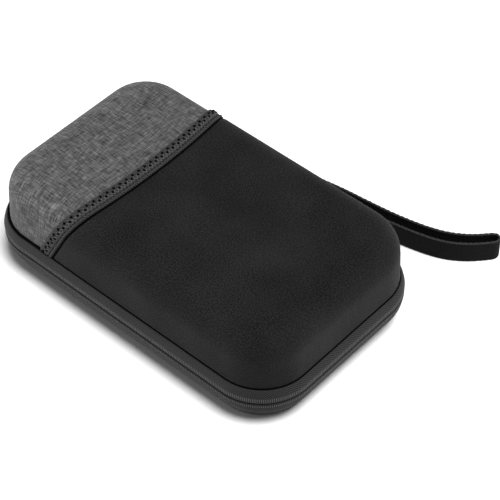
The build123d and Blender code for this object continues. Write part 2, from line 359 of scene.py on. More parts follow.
def stage():
    mesh = bpy.data.meshes.new("floor")
    r = FLOOR_REACH
    mesh.from_pydata([(-r, -r, 0), (r, -r, 0), (r, r, 0), (-r, r, 0)], [], [(0, 1, 2, 3)])
    floor = bpy.data.objects.new("floor", mesh)
    bpy.context.scene.collection.objects.link(floor)
    n = Nodes("floor")
    grain = n.noise(n.cloth(object_space=True), 0.02, 2.0, 0.5)
    n.finish(n.ramp(grain, [(0.3, 0.89), (0.7, 0.91)]), rough=0.8)
    n.shader.inputs["Emission Color"].default_value = (1, 1, 1, 1)
    n.shader.inputs["Emission Strength"].default_value = FLOOR_GLOW
    floor.data.materials.append(n.mat)
    world = bpy.data.worlds.new("studio")
    bpy.context.scene.world = world
    world.use_nodes = True
    world.node_tree.nodes["Background"].inputs["Color"].default_value = (1, 1, 1, 1)
    world.node_tree.nodes["Background"].inputs["Strength"].default_value = WORLD_GLOW
    bpy.context.scene.view_settings.view_transform = "Standard"


def lights():
    """A wide overhead light, and two low fills that light only the case, so that its shadow stays short."""
    overhead = light("overhead", "SUN", (0.36, 0.02, 1.3), 4.7)
    overhead.data.angle = math.radians(33)
    case = bpy.data.collections.new("case")
    for obj in bpy.context.scene.objects:
        if obj.type == "MESH" and obj.name != "floor":
            case.objects.link(obj)
    fills = (("left_fill", (-0.95, -0.80, 0.20), 24), ("right_fill", (0.90, 0.70, 0.35), 9))
    for name, place, power in fills:
        fill = light(name, "AREA", place, power)
        fill.data.shape = "DISK"
        fill.data.size = FILL_SIZE
        fill.light_linking.receiver_collection = case


# ---------------------------------------------------------------- materials

# Scale of the foam's cell texture, over coordinates in millimetres
FOAM_CELLS = 2.4


class Nodes:
    """A short way to write a node tree."""

    def __init__(self, name):
        self.mat = bpy.data.materials.new(name)
        self.mat.use_nodes = True
        self.tree = self.mat.node_tree
        self.shader = self.tree.nodes["Principled BSDF"]

    def add(self, kind, **values):
        node = self.tree.nodes.new(kind)
        for key, value in values.items():
            setattr(node, key, value)
        return node

    def wire(self, out, into):
        self.tree.links.new(out, into)

    def math(self, operation, a, b=None, c=None):
        node = self.add("ShaderNodeMath", operation=operation)
        for socket, value in zip(node.inputs, (a, b, c)):
            if value is None:
                continue
            if isinstance(value, (int, float)):
                socket.default_value = value
            else:
                self.wire(value, socket)
        return node.outputs[0]

    def cloth(self, scale=(1, 1), turn=0.0, object_space=False):
        """Coordinates in millimetres, on the fabric's own plane or in the object's space."""
        if object_space:
            source = self.add("ShaderNodeTexCoord").outputs["Object"]
        else:
            source = self.add("ShaderNodeUVMap", uv_map="cloth").outputs["UV"]
        mapping = self.add("ShaderNodeMapping")
        sx, sy = scale
        mapping.inputs["Scale"].default_value = (sx / MM, sy / MM, sy / MM)
        mapping.inputs["Rotation"].default_value = (0, 0, turn)
        self.wire(source, mapping.inputs["Vector"])
        return mapping.outputs["Vector"]

    def noise(self, vector, scale=1.0, detail=2.0, rough=0.5):
        node = self.add("ShaderNodeTexNoise")
        self.wire(vector, node.inputs["Vector"])
        node.inputs["Scale"].default_value = scale
        node.inputs["Detail"].default_value = detail
        node.inputs["Roughness"].default_value = rough
        return node.outputs["Fac"]

    def wave(self, vector, scale, direction="X", distortion=0.0):
        node = self.add("ShaderNodeTexWave", bands_direction=direction)
        self.wire(vector, node.inputs["Vector"])
        node.inputs["Scale"].default_value = scale
        node.inputs["Distortion"].default_value = distortion
        node.inputs["Detail"].default_value = 1.0
        return node.outputs["Fac"]

    def ramp(self, factor, stops):
        node = self.add("ShaderNodeValToRGB")
        elements = node.color_ramp.elements
        while len(elements) < len(stops):
            elements.new(0.5)
        for element, (place, value) in zip(elements, stops):
            element.position = place
            element.color = (value, value, value, 1)
        self.wire(factor, node.inputs["Fac"])
        return node.outputs["Color"]

    def finish(self, color, height=None, bump_mm=0.1, rough=0.9, sheen=0.0, sheen_rough=0.5,
               specular=0.3, metallic=0.0):
        inputs = self.shader.inputs
        self.wire(color, inputs["Base Color"])
        if isinstance(rough, (int, float)):
            inputs["Roughness"].default_value = rough
        else:
            self.wire(rough, inputs["Roughness"])
        inputs["Sheen Weight"].default_value = sheen
        inputs["Sheen Roughness"].default_value = sheen_rough
        inputs["Specular IOR Level"].default_value = specular
        inputs["Metallic"].default_value = metallic
        if height is not None:
            bump = self.add("ShaderNodeBump")
            bump.inputs["Distance"].default_value = bump_mm * MM
            bump.inputs["Strength"].default_value = 1.0
            self.wire(height, bump.inputs["Height"])
            self.wire(bump.outputs["Normal"], inputs["Normal"])
        return self.mat


def weave(n, pitch):
    """Plain weave of threads pitch millimetres apart, as a height from 0 to 1."""
    cloth = n.cloth()
    split = n.add("ShaderNodeSeparateXYZ")
    n.wire(cloth, split.inputs[0])
    u = n.math("MULTIPLY", split.outputs["X"], math.pi / pitch)
    v = n.math("MULTIPLY", split.outputs["Y"], math.pi / pitch)
    product = n.math("MULTIPLY", n.math("SINE", u), n.math("SINE", v))
    return n.math("MULTIPLY_ADD", product, 0.5, 0.5)


def thread_streaks(n, along, across, pitch=0.5, run=5.0):
    """Tone that changes slowly along each thread and jumps from one thread to the next."""
    thread_number = n.math("FLOOR", n.math("DIVIDE", across, pitch))
    place = n.add("ShaderNodeCombineXYZ")
    n.wire(n.math("DIVIDE", along, run), place.inputs["X"])
    n.wire(n.math("MULTIPLY", thread_number, 7.31), place.inputs["Y"])
    return n.noise(place.outputs[0], 1.0, 1.0, 0.5)


def heather_fabric():
    """Two-tone woven polyester with short light and dark thread streaks both ways."""
    n = Nodes("lid_fabric")
    split = n.add("ShaderNodeSeparateXYZ")
    n.wire(n.cloth(), split.inputs[0])
    u, v = split.outputs["X"], split.outputs["Y"]
    along = thread_streaks(n, u, v)
    across = thread_streaks(n, v, u)
    speck = n.noise(n.cloth((2.2, 2.2)), 1.0, 1.0, 0.5)
    mix = n.math("MULTIPLY_ADD", n.math("ADD", along, across), 0.46, n.math("MULTIPLY", speck, 0.08))
    broad = n.noise(n.cloth((0.07, 0.07)), 1.0, 2.0, 0.5)
    tone = n.math("MULTIPLY_ADD", n.math("SUBTRACT", broad, 0.5), 0.03, mix)
    color = n.ramp(tone, [(0.30, 0.008), (0.5, 0.052), (0.70, 0.125)])
    height = n.math("MULTIPLY_ADD", weave(n, 0.62), 0.5, n.math("MULTIPLY", mix, 0.8))
    return n.finish(color, height, 0.14, 0.92, 0.05, 0.5, 0.1)


def knit_fabric(name, dark, light, sheen=0.03):
    """Matte stretch knit with a very fine rib."""
    n = Nodes(name)
    cloth = n.cloth()
    rib = n.wave(cloth, 0.5, "X", 0.6)
    loops = n.wave(cloth, 0.4, "Y", 0.8)
    grain = n.noise(cloth, 1.4, 2.0, 0.6)
    broad = n.noise(cloth, 0.03, 3.0, 0.5)
    tone = n.math("MULTIPLY_ADD", n.math("SUBTRACT", broad, 0.5), 0.35, grain)
    color = n.ramp(tone, [(0.36, dark), (0.66, light)])
    height = n.math("ADD", n.math("MULTIPLY", rib, loops), n.math("MULTIPLY", grain, 0.8))
    return n.finish(color, height, 0.1, 0.9, sheen, 0.35, 0.12)


def twill_tape(name, dark, light, pitch=1.1, turn=48):
    """Woven tape with a fine diagonal rib."""
    n = Nodes(name)
    cloth = n.cloth((1, 1), math.radians(turn))
    diagonal = n.wave(cloth, 0.314 / pitch, "X", 0.4)
    grain = n.noise(cloth, 1.8, 2.0, 0.6)
    tone = n.math("MULTIPLY_ADD", diagonal, 0.4, n.math("MULTIPLY", grain, 0.6))
    color = n.ramp(tone, [(0.25, dark), (0.75, light)])
    return n.finish(color, tone, 0.18, 0.9, 0.05, 0.4, 0.12)


def webbing_fabric(object_space=False):
    """Close-woven black webbing, faintly ribbed across, with painted sheen that makes both edges paler."""
    n = Nodes("webbing_anchor" if object_space else "webbing")
    cloth = n.cloth(object_space=object_space)
    rib = n.wave(cloth, 0.314 / 1.6, "X", 1.5)
    grain = n.noise(cloth, 1.1, 3.0, 0.65)
    tone = n.math("MULTIPLY_ADD", rib, 0.05, n.math("MULTIPLY", grain, 0.55))
    if not object_space:
        girth = n.add("ShaderNodeSeparateXYZ")
        n.wire(cloth, girth.inputs[0])
        # painted sheen: the strap's two edge bands are made paler
        side = n.math("MODULO", girth.outputs["Y"], STRAP_W - 1 + STRAP_EDGE)
        edge = n.math("LESS_THAN", side, STRAP_EDGE)
        tone = n.math("MULTIPLY_ADD", edge, 0.3, tone)
    color = n.ramp(tone, [(0.18, 0.001), (0.46, 0.008), (0.85, 0.05)])
    return n.finish(color, tone, 0.2, 0.85, 0.01, 0.4, 0.08)


def thread(name, value, shine=0.2):
    n = Nodes(name)
    twist = n.wave(n.cloth(), 0.5, "DIAGONAL", 0.0)
    color = n.ramp(twist, [(0.0, value * 0.6), (1.0, value * 1.3)])
    return n.finish(color, twist, 0.05, 0.7, 0.0, 0.4, shine)


def foam(name, value):
    n = Nodes(name)
    cells = n.add("ShaderNodeTexVoronoi")
    cells.inputs["Scale"].default_value = FOAM_CELLS
    n.wire(n.cloth(object_space=True), cells.inputs["Vector"])
    grain = n.noise(n.cloth(object_space=True), 1.3, 3.0, 0.6)
    color = n.ramp(grain, [(0.3, value * 0.7), (0.7, value * 1.4)])
    return n.finish(color, cells.outputs["Distance"], 0.12, 0.95, 0.1, 0.5, 0.2)


def painted_metal():
    n = Nodes("slider_metal")
    speck = n.noise(n.cloth(object_space=True), 0.9, 4.0, 0.6)
    worn = n.noise(n.cloth(object_space=True), 0.25, 2.0, 0.5)
    color = n.ramp(speck, [(0.3, 0.012), (0.75, 0.03)])
    rough = n.math("MULTIPLY_ADD", worn, 0.25, 0.22)
    return n.finish(color, speck, 0.02, rough, 0.0, 0.5, 0.5, 0.6)


def nylon():
    n = Nodes("zip_coil")
    speck = n.noise(n.cloth(object_space=True), 1.5, 2.0, 0.5)
    color = n.ramp(speck, [(0.3, 0.006), (0.7, 0.016)])
    return n.finish(color, speck, 0.03, 0.35, 0.0, 0.5, 0.5)


def wear(obj, mat):
    obj.data.materials.clear()
    obj.data.materials.append(mat)
    return obj


# ---------------------------------------------------------------- lid

def lid_section(depth):
    """Half section of the lid across Y, from the lid's edge over the top to the other edge."""
    profile = shell_profile(LID_EDGE_Z, LID_TOP, LID_TOP_R, depth, CROWN)
    half = [(HALF_W - inset, z) for inset, z, _ in profile]
    middle = (0.0, profile[-1][1])
    left = [(-y, z) for y, z in half]
    return left + [middle] + half[::-1]


# The pocket's mouth in millimetres: where it crosses the lid's middle, how far it scoops back by
# MOUTH_HALF from there, how much it leans per millimetre down the wall, and its tape's width and stitches
MOUTH_X = -33.0
MOUTH_SCOOP = 4.4
MOUTH_HALF = 53.0
MOUTH_SLOPE = 0.5
MOUTH_W = 8.3
STITCH_PERIOD = 3.9

# The pocket's cloth, in millimetres: how proud it stands, its thickness, its foot above the seam, how near
# points are when they merge, and the dip where it goes under the tape
PANEL_PROUD = 0.8
PANEL_T = 0.75
PANEL_FOOT = 8.1
MERGE = 0.25
DIP = 0.6
DIP_REACH = 2.3


def mouth_line(y, z):
    """X of the pocket mouth's free edge where the lid's surface is at (y, z)."""
    return MOUTH_X - MOUTH_SCOOP * (y / MOUTH_HALF) ** 2 - MOUTH_SLOPE * max(LID_TOP - z, 0.0)


def flat_cut(bm):
    """Size and area that a cloth was cut to before it was laid on, in metres, from its flat coordinates."""
    layer = bm.loops.layers.uv["cloth"]
    area = 0.0
    across, down = [], []
    for face in bm.faces:
        corners = [loop[layer].uv.copy() for loop in face.loops]
        area += abs(sum(a.cross(b) for a, b in zip(corners, corners[1:] + corners[:1]))) / 2
        across += [c.x for c in corners]
        down += [c.y for c in corners]
    return (max(across) - min(across), max(down) - min(down)), area


def lid_pieces(fabric, knit):
    cover = moulded_skin("lid_cover_skin", LID_EDGE_Z, LID_TOP, LID_TOP_R, 0.0, COVER_T, CROWN)
    wear(cover, fabric)
    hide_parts("lid_cover")
    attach(cover, "lid")

    profile = shell_profile(LID_EDGE_Z, LID_TOP, LID_TOP_R, -PANEL_PROUD, CROWN)
    verts, uvs, cols = shell_rings(profile)
    rows = len(profile)
    faces = grid_faces(rows, cols, close_cols=True) + close_middle((rows - 1) * cols, cols)
    panel = outward(link("pocket_panel_skin", verts, faces, uvs))
    bm = bmesh.new()
    bm.from_mesh(panel.data)
    bmesh.ops.remove_doubles(bm, verts=bm.verts, dist=MERGE * MM)
    for v in bm.verts:
        v.co.x -= mouth_line(v.co.y / MM, v.co.z / MM) * MM
    for past in (-1.0, 0.0, 0.4, 0.9, 1.5, DIP_REACH):
        bmesh.ops.bisect_plane(bm, geom=[*bm.verts, *bm.edges, *bm.faces], dist=1e-7,
                               plane_co=((MOUTH_W + past) * MM, 0, 0), plane_no=(1, 0, 0),
                               clear_inner=past < 0)
    bm.normal_update()
    for v in bm.verts:
        past = max(v.co.x / MM - MOUTH_W, 0.0)
        if past < DIP_REACH:
            v.co -= v.normal * DIP * (1 - past / DIP_REACH) ** 2 * MM
    for v in bm.verts:
        v.co.x += mouth_line(v.co.y / MM, v.co.z / MM) * MM
    foot = SEAM_Z + PANEL_FOOT
    bmesh.ops.bisect_plane(bm, geom=[*bm.verts, *bm.edges, *bm.faces], dist=1e-7,
                           plane_co=(0, 0, foot * MM), plane_no=(0, 0, 1), clear_inner=True)
    bm.normal_update()
    cut, area = flat_cut(bm)
    bmesh.ops.solidify(bm, geom=list(bm.faces), thickness=PANEL_T * MM)
    bmesh.ops.recalc_face_normals(bm, faces=bm.faces)
    bm.to_mesh(panel.data)
    bm.free()
    wear(panel, knit)
    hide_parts("pocket_panel")
    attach(panel, "lid")


def resample(points, spacing):
    """Points evenly spaced along a polyline, about spacing apart, ends kept."""
    lengths = [0.0]
    for a, b in zip(points, points[1:]):
        lengths.append(lengths[-1] + math.dist(a, b))
    count = max(2, round(lengths[-1] / spacing))
    result = []
    k = 0
    for i in range(count + 1):
        target = lengths[-1] * i / count
        while k < len(points) - 2 and lengths[k + 1] < target:
            k += 1
        t = (target - lengths[k]) / max(lengths[k + 1] - lengths[k], 1e-9)
        result.append(tuple(a + (b - a) * t for a, b in zip(points[k], points[k + 1])))
    return result


def mouth_frame():
    """Stations over the lid along the mouth: (y, z, out_y, out_z), in even steps."""
    section = [p for p in lid_section(0.0) if p[1] > SEAM_Z + 7.4]
    line = resample(section, 0.8)
    frames = []
    for i, (y, z) in enumerate(line):
        ay, az = line[max(i - 1, 0)]
        by, bz = line[min(i + 1, len(line) - 1)]
        ty, tz = by - ay, bz - az
        size = math.hypot(ty, tz)
        frames.append((y, z, -tz / size, ty / size))
    return frames


def on_mouth(station, across, proud):
    y, z, ny, nz = station
    return (mouth_line(y, z) + across, y + ny * proud, z + nz * proud)


def mouth_pieces(edge_mat, stitch_mat, painted_shade_mat):
    """The folded tape along the pocket's mouth, its zigzag stitching, and painted shade: black spots at the
    stitch holes and black lines in the tape's groove, along its free edge and in the dip beside the
    pocket's cloth.
    """
    frames = mouth_frame()
    section = [(0.0, 0.05), (0.05, 0.75), (0.35, 1.0), (1.0, 1.08), (2.0, 1.05), (3.4, 1.12),
               (4.8, 1.12), (5.6, 1.0), (5.95, 0.8), (6.3, 1.2), (6.75, 1.5), (7.2, 1.48),
               (7.6, 1.1), (7.75, 0.5), (7.6, 0.05)]
    verts, uvs = [], []
    along = 0.0
    for i, station in enumerate(frames):
        if i:
            along += math.dist(on_mouth(station, 0, 0), on_mouth(frames[i - 1], 0, 0))
        for across, proud in section:
            verts.append(on_mouth(station, across, proud))
            uvs.append((along, across))
    tape = outward(link("pocket_edge_tape", verts, capped_grid(len(frames), len(section)), uvs))
    wear(tape, edge_mat)
    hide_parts("pocket_binding")
    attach(tape, "lid")

    line = resample(frames, STITCH_PERIOD / 4)[1:-1]
    tubes, painted_shade_marks = [], []
    for flip in (0, 1):
        points = [on_mouth(station, (2.4, 5.3)[(i + flip) % 2], 1.1)
                  for i, station in enumerate(line[::2])]
        for a, b in zip(points, points[1:]):
            middle = tuple((p + q) / 2 for p, q in zip(a, b))
            tubes.append(tube([a, middle, b], 0.2, 5))
    # painted shade: black spots at the stitch holes, and a black line in the groove of the tape
    for i, (here, there) in enumerate(zip(line[::2], line[1::2])):
        near = (1.6, 3.0)[i % 2]
        painted_shade_marks.append(tube([on_mouth(here, near, 1.0), on_mouth(here, near + 0.5, 1.25),
                           on_mouth(here, near + 1.1, 1.1)], 0.56, 6))
        painted_shade_marks.append(tube([on_mouth(here, 5.95, 0.85), on_mouth(there, 5.95, 0.85)], 0.3, 5))
    stitches = wear(join_tubes("pocket_zigzag", tubes), stitch_mat)
    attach(stitches, "lid")
    # painted shade: black lines in the dip beside the pocket's cloth and along the tape's free edge
    groove = tube([on_mouth(station, 8.15, 0.5) for station in frames], 0.5, 6)
    border = tube([on_mouth(station, 0.15, 0.3) for station in frames], 0.35, 6)
    dark = wear(join_tubes("pocket_painted_shade", [*painted_shade_marks, groove, border]), painted_shade_mat)
    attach(dark, "lid")


# ---------------------------------------------------------------- zip and spine

# The zip, in millimetres: stitches along the tape, the black tube that paints shade in its groove, and the
# coil's turns, wire and step, how much smaller it is than its space, and what is left free at its two ends
ZIP_STITCH_PITCH = 0.95
GROOVE_SHADE_R = 0.8
GROOVE_SHADE_INSET = 2.6
GROOVE_SHADE_UP = 7.7
COIL_PITCH = 1.12
COIL_WIRE_R = 0.26
COIL_STEP = 0.16
COIL_CLEAR = 0.27
COIL_FIRST = 4.0
COIL_LAST = 3.3


def tape_section(side):
    """Section of one zip tape, rolled over into the groove at the shell."""
    shape = [(-1.3, 0.5), (-0.75, 0.34), (-0.3, 0.36), (-0.02, 0.8), (0.0, 2.0), (-0.12, 3.4),
             (-0.4, 4.8), (-0.85, 6.1), (-1.25, 7.0), (-1.6, 7.55), (-1.95, 7.7), (-2.2, 7.45),
             (-2.3, 6.9), (-2.45, 6.3), (-2.85, 6.0), (-2.9, 5.2), (-2.3, 4.6), (-1.7, 3.4), (-1.45, 1.8)]
    return [(out, SEAM_Z + side * up) for out, up in shape]


def zip_pieces(tape_mat, stitch_mat, groove_shade_mat):
    """Each half's tape, its row of stitches and a black tube that paints the shade in the groove beside it.
    """
    for side, body, name, node in ((1, "lid", "upper", "zip_tape_upper"),
                                   (-1, "base", "lower", "zip_tape_lower")):
        tape = sweep_run("zip_band_" + name, rim_run(0.0), tape_section(side))
        wear(tape, tape_mat)
        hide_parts(node)
        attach(tape, body)
        far = 3.3 if side > 0 else 2.3
        tubes = []
        for x, y, nx, ny, _ in even_run(0.0, ZIP_STITCH_PITCH)[1:-1]:
            points = [(x + nx * out, y + ny * out, SEAM_Z + side * up)
                      for out, up in ((-0.06, 1.05), (0.06, (1.05 + far) / 2), (-0.14, far))]
            tubes.append(tube(points, 0.17, 4))
        row = wear(join_tubes("zip_stitches_" + name, tubes), stitch_mat)
        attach(row, body)
        # painted shade: a black tube along the groove between the tape and the shell
        groove_shade_path = [(x, y, SEAM_Z + side * GROOVE_SHADE_UP) for x, y, _, _, _ in rim_run(GROOVE_SHADE_INSET)]
        groove_shade_line = wear(join_tubes("zip_groove_shade_" + name, [tube(groove_shade_path, GROOVE_SHADE_R, 8)]), groove_shade_mat)
        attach(groove_shade_line, body)


def spine(tape_mat):
    """Fabric strip behind, which joins the halves."""
    low = tape_section(-1)
    high = tape_section(1)
    outer = low[12:2:-1] + high[3:13]
    inner = [high[14], high[15], (-1.9, SEAM_Z + 3.5), (-1.4, SEAM_Z), (-1.9, SEAM_Z - 3.5),
             low[15], low[14]]
    section = resample(outer, 0.5) + resample(inner, 0.5)
    steps = 60
    run = []
    for i in range(steps + 1):
        x = HINGE_HALF - 2 * HINGE_HALF * i / steps
        run.append((x, HALF_W, 0.0, 1.0, HINGE_HALF - x))
    web = wear(sweep_run("hinge_web_strip", run, section), tape_mat)
    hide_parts("hinge_web")
    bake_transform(web)


# ---------------------------------------------------------------- base

def base_pieces(fabric):
    cover = moulded_skin("base_cover_skin", BASE_EDGE_Z, 0.0, BASE_BOTTOM_R, 0.0, COVER_T)
    wear(cover, fabric)
    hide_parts("base_cover")
    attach(cover, "base")


# ---------------------------------------------------------------- inside

FOAM_T = 3.4


def ring_body(name, section):
    """Closed band right round the rim, from a section of (inset, z) points."""
    verts, uvs = [], []
    length = 0.0
    previous = section[0]
    for inset, z in section:
        length += math.dist((inset, z), previous)
        previous = (inset, z)
        along = 0.0
        ring = outline(inset)
        for k, (x, y, _, _) in enumerate(ring):
            if k:
                along += math.dist((x, y), ring[k - 1][:2])
            verts.append((x, y, z))
            uvs.append((along, length))
    faces = grid_faces(len(section), len(ring), close_rows=True, close_cols=True)
    return outward(link(name, verts, faces, uvs))


def linings(lining_mat, binding_mat, stitch_mat):
    halves = (("base", -1, BASE_EDGE_Z, 0.0, BASE_BOTTOM_R), ("lid", 1, LID_EDGE_Z, LID_TOP, LID_TOP_R))
    for body, side, edge, far, edge_r in halves:
        skin = moulded_skin(body + "_lining_cloth", edge, far, edge_r, COVER_T + FOAM_T, WALL_T)
        wear(skin, lining_mat)
        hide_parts(body + "_lining")
        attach(skin, body)
        wall = WALL_INSET + WALL_T
        section = [(3.75, edge - side * 0.15), (3.7, edge - side * 0.7), (4.2, edge - side * 1.1),
                   (6.0, edge - side * 1.3), (wall, edge - side * 1.25), (wall + 1.1, edge - side * 0.9),
                   (wall + 1.45, edge - side * 0.1), (wall + 1.3, edge + side * 1.6),
                   (wall + 1.35, edge + side * 3.2), (wall + 0.95, edge + side * 3.9),
                   (wall + 0.25, edge + side * 3.8), (wall + 0.15, edge + side * 0.05)]
        band = wear(ring_body(body + "_binding_tape", section), binding_mat)
        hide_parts(body + "_binding")
        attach(band, body)
        tubes = []
        ring = outline(wall + 1.35, 10, 56, 28)
        for a, b in zip(ring[::2], ring[1::2]):
            z = edge + side * 2.5
            middle = [(a[k] + b[k]) / 2 - (a[k + 2] + b[k + 2]) * 0.12 for k in (0, 1)]
            tubes.append(tube([(a[0], a[1], z), (*middle, z), (b[0], b[1], z)], 0.17, 4))
        row = wear(join_tubes(body + "_binding_stitches", tubes), stitch_mat)
        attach(row, body)


def coils(mat):
    """Nylon coil along each half of the opening."""
    for body, name in (("lid", "upper"), ("base", "lower")):
        low, high = (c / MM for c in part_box("zip_coil_" + name))
        z = (low.z + high.z) / 2
        inset = HALF_W - high.y + (high.z - low.z) / 2
        radius = (high.z - low.z) / 2 - COIL_CLEAR
        run = [q for q in even_run(inset, COIL_STEP) if q[4] > COIL_FIRST]
        run = [q for q in run if q[4] < run[-1][4] - COIL_LAST]
        points = []
        for x, y, nx, ny, along in run:
            a = 2 * math.pi * along / COIL_PITCH
            points.append((x + nx * radius * math.cos(a), y + ny * radius * math.cos(a),
                           z + radius * math.sin(a)))
        coil = wear(join_tubes("zip_spiral_" + name, [tube(points, COIL_WIRE_R, 4)]), mat)
        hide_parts("zip_coil_" + name)
        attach(coil, body)


def softened(node, name, voxel, rounds):
    """A soft copy of a piece, with its edges rounded over; voxel is in millimetres."""
    obj = bpy.data.objects.new(name, frame["nodes"][node].data.copy())
    obj.matrix_world = frame["nodes"][node].matrix_world.copy()
    bpy.context.scene.collection.objects.link(obj)
    remesh = obj.modifiers.new("remesh", "REMESH")
    remesh.mode = "VOXEL"
    remesh.voxel_size = voxel * MM
    smooth = obj.modifiers.new("smooth", "SMOOTH")
    smooth.factor = 0.5
    smooth.iterations = rounds
    depsgraph = bpy.context.evaluated_depsgraph_get()
    mesh = bpy.data.meshes.new_from_object(obj.evaluated_get(depsgraph))
    obj.modifiers.clear()
    obj.data = mesh
    mesh.polygons.foreach_set("use_smooth", [True] * len(mesh.polygons))
    return obj


def insert_pad(mat):
    pad = wear(softened("foam_insert", "insert_pad", voxel=1.1, rounds=4), mat)
    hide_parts("foam_insert")
    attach(pad, "base")


NET_CELL = 3.4
NET_WIRE = 0.45
NET_CORNER_R = 12.0
NET_HALF_T = 0.18
ELASTIC_SIDES = 12
ELASTIC_STEPS = 240


def net_pieces(net_mat, trim_mat, elastic_mat, stitch_mat):
    """Net pocket inside the lid: open hexagons, tape on three sides and ribbed elastic on the fourth."""
    low, high = (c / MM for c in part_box("mesh_pocket"))
    z = (low.z + high.z) / 2
    x0, x1, half = low.x, high.x, high.y
    corner = NET_CORNER_R
    verts, faces, index, sides = [], [], {}, {}

    def inside(x, y):
        if x > x1 - corner and abs(y) > half - corner:
            return math.hypot(x - x1 + corner, abs(y) - half + corner) < corner
        return x0 < x < x1 and abs(y) < half

    def vertex(x, y, up):
        key = (round(x, 3), round(y, 3), up)
        if key not in index:
            index[key] = len(verts)
            verts.append((x, y, z + up * NET_HALF_T))
        return index[key]

    r = NET_CELL / 2
    step_x = 1.5 * r
    step_y = math.sqrt(3) * r
    for i in range(int((x1 - x0) / step_x) + 1):
        for j in range(int(half / step_y) * 2 + 3):
            cx = x0 + r + i * step_x
            cy = -half + r + j * step_y + (step_y / 2 if i % 2 else 0)
            ring = [(cx + r * math.cos(math.pi * k / 3), cy + r * math.sin(math.pi * k / 3))
                    for k in range(6)]
            if not all(inside(x, y) for x, y in ring):
                continue
            hole = 1 - NET_WIRE / r
            inner = [(cx + (x - cx) * hole, cy + (y - cy) * hole) for x, y in ring]
            for k in range(6):
                k2 = (k + 1) % 6
                side = (vertex(*ring[k], 1), vertex(*ring[k2], 1),
                        vertex(*ring[k2], -1), vertex(*ring[k], -1))
                if sides.pop(frozenset(side), None) is None:
                    sides[frozenset(side)] = side
                for up in (1, -1):
                    quad = [vertex(*ring[k], up), vertex(*ring[k2], up), vertex(*inner[k2], up),
                            vertex(*inner[k], up)]
                    faces.append(quad if up > 0 else quad[::-1])
                faces.append([vertex(*inner[k], 1), vertex(*inner[k2], 1), vertex(*inner[k2], -1),
                              vertex(*inner[k], -1)])
    faces += [list(side) for side in sides.values()]
    sag = [(x, y, q - 0.8 * math.cos(math.pi * y / half / 2)
            * math.cos(math.pi * (x - x0) / (x1 - x0) - 1.2) ** 2) for x, y, q in verts]
    net = link("net_cloth", sag, faces, [(x, y) for x, y, q in sag])
    outward(net)
    wear(net, net_mat)
    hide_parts("mesh_pocket")
    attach(net, "lid")

    trim_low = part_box("mesh_pocket_trim")[0].z / MM
    trim_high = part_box("mesh_pocket_trim")[1].z / MM
    path = [(x0, -half), (x1 - corner, -half)]
    path += [(x1 - corner + corner * math.sin(a), -half + corner - corner * math.cos(a))
             for a in (math.radians(d) for d in range(10, 90, 10))]
    path += [(x1, -half + corner)]
    path += [(x, -y) for x, y in path[::-1]]
    line = resample(path, 1.6)
    section = [(-0.6, 0.0), (0.2, -0.25), (1.6, 0.0), (2.3, 0.7), (2.4, 1.8), (2.3, trim_high - trim_low),
               (0.1, trim_high - trim_low), (0.0, 1.6), (-0.6, 1.1)]
    verts, uvs = [], []
    along = 0.0
    tubes = []
    for i, (x, y) in enumerate(line):
        ax, ay = line[max(i - 1, 0)]
        bx, by = line[min(i + 1, len(line) - 1)]
        size = math.hypot(bx - ax, by - ay)
        nx, ny = (by - ay) / size, -(bx - ax) / size
        along += math.dist((x, y), (ax, ay)) if i else 0.0
        for out, up in section:
            verts.append((x + nx * out, y + ny * out, trim_low + up))
            uvs.append((along, out + up))
        if i % 2 and i + 1 < len(line):
            px, py = line[i + 1]
            ends = [(x + nx, y + ny, trim_low - 0.1), (px + nx, py + ny, trim_low - 0.1)]
            tubes.append(tube(ends, 0.2, 4))
    faces = capped_grid(len(line), len(section))
    trim = wear(outward(link("net_trim", verts, faces, uvs)), trim_mat)
    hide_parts("mesh_pocket_trim")
    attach(trim, "lid")
    rows = wear(join_tubes("net_trim_stitches", tubes), stitch_mat)
    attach(rows, "lid")

    low, high = (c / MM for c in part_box("mesh_pocket_elastic"))
    cx, cz = (low.x + high.x) / 2, (low.z + high.z) / 2
    verts, uvs = [], []
    steps = ELASTIC_STEPS
    for i in range(steps + 1):
        y = low.y + (high.y - low.y) * i / steps
        gather = 1 + 0.10 * math.sin(2 * math.pi * y / 2.3) + 0.05 * noise.noise((y * 0.3, 0, 0))
        for k in range(ELASTIC_SIDES):
            a = 2 * math.pi * k / ELASTIC_SIDES
            reach = abs(math.cos(a)) ** 0.5 * math.copysign(1, math.cos(a))
            verts.append((cx + reach * 1.9, y, cz + math.sin(a) * 0.9 * gather))
            uvs.append((y, k * 0.8))
    faces = capped_grid(steps + 1, ELASTIC_SIDES)
    elastic = wear(outward(link("net_elastic", verts, faces, uvs)), elastic_mat)
    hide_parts("mesh_pocket_elastic")
    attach(elastic, "lid")
    size = (x1 - x0) * MM, 2 * half * MM


# ---------------------------------------------------------------- wrist strap

STRAP_W = 12.0
STRAP_T = 1.2
STRAP_EDGE = 1.82
STRAP_BEVEL = 0.5
SELVEDGE_LOOP = 2.6
SELVEDGE_DEPTH = 0.14
STRAP_ROUTE = [
    (-58.0, 57.9), (-45.0, 58.2), (-32.0, 60.5), (-19.0, 64.1), (-5.0, 67.8), (10.0, 70.6),
    (25.0, 72.6), (40.0, 74.9), (55.0, 77.6), (68.0, 80.4), (79.0, 84.2), (87.6, 90.2),
    (94.0, 97.0), (97.2, 101.2), (96.2, 104.4), (93.0, 104.6), (88.6, 99.4), (83.0, 94.2),
    (75.0, 89.2), (64.5, 85.6), (51.0, 82.7), (36.0, 80.7), (20.0, 79.1), (4.0, 76.2),
    (-10.0, 71.9), (-22.0, 67.2), (-34.0, 62.6), (-46.0, 59.8), (-58.0, 59.1),
]


